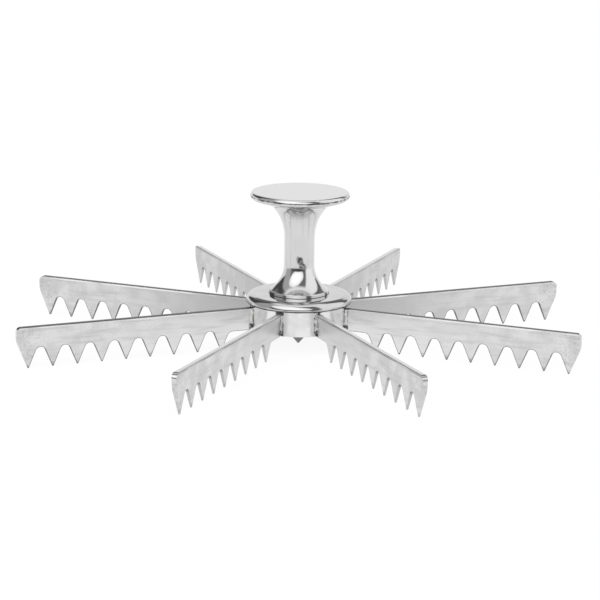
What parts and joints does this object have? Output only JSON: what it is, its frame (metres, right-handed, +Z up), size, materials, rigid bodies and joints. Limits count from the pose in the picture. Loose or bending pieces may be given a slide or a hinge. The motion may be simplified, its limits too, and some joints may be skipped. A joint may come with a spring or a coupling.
{
  "type": "cake portion marker",
  "caption": "Round portion marker: toothed blades radiate from a round hub under an upright palm handle with a flat disc top; pressed down on a cake, pie or dough, it marks equal wedges.",
  "frame": {"origin": "on the hub's axis, in the plane of the tooth tips that the tool stands on", "axes": "+Z up along the handle's axis, towards the palm disc; +X along blade_1"},
  "size_m": [0.3, 0.3, 0.0794],
  "materials": {
    "handle_chrome": "bright chrome plate on turned metal",
    "hub_chrome": "bright chrome plate on turned metal",
    "blade_chrome": "bright chrome plate on ground sheet steel",
    "braze_chrome": "chrome plate over a hand-laid braze fillet",
    "zinc_steel": "bright zinc plate on turned and stamped steel"
  },
  "bodies": {
    "root": {"palm_handle": "handle_chrome", "hub_plate": "hub_chrome", "hub_drum": "hub_chrome", "handle_screw": "zinc_steel", "lock_washer": "zinc_steel", "flat_washer": "zinc_steel", "blade_1": "blade_chrome", "blade_2": "blade_chrome", "blade_3": "blade_chrome", "blade_4": "blade_chrome", "blade_5": "blade_chrome", "blade_6": "blade_chrome", "blade_7": "blade_chrome", "blade_8": "blade_chrome", "blade_weld_1": "braze_chrome", "blade_weld_2": "braze_chrome", "blade_weld_3": "braze_chrome", "blade_weld_4": "braze_chrome", "blade_weld_5": "braze_chrome", "blade_weld_6": "braze_chrome", "blade_weld_7": "braze_chrome", "blade_weld_8": "braze_chrome"}
  },
  "joints": []
}
